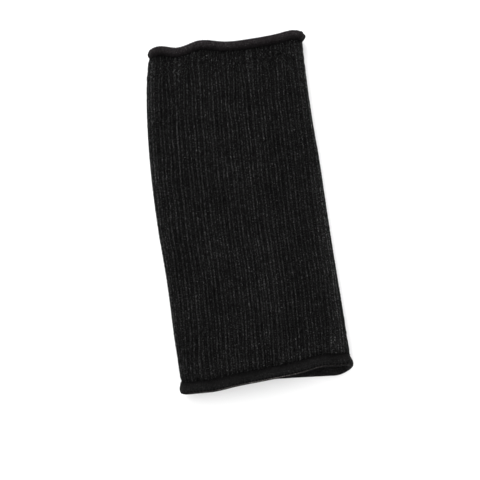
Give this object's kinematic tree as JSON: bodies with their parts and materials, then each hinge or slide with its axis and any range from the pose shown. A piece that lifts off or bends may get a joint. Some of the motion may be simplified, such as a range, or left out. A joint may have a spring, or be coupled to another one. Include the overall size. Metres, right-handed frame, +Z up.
{
  "type": "knitted cut-resistant forearm sleeve",
  "caption": "Short tube of ribbed knit with a smooth folded hem at each end, worn over the wrist and forearm against cuts, lying flattened on its back.",
  "frame": {"origin": "under the middle of the lying sleeve, on the surface that it rests on", "axes": "+Y along the sleeve towards the upper, narrower rim, +Z up out of the front face, +X to the right as the front face is seen"},
  "size_m": [0.0932, 0.185, 0.0177],
  "materials": {
    "rib_knit": "matte black ribbed knit with sparse light fibres",
    "hem_knit": "matte black fine plain knit, folded over"
  },
  "bodies": {
    "root": {"ribbed_tube": "rib_knit", "upper_hem": "hem_knit", "lower_hem": "hem_knit"}
  },
  "joints": []
}
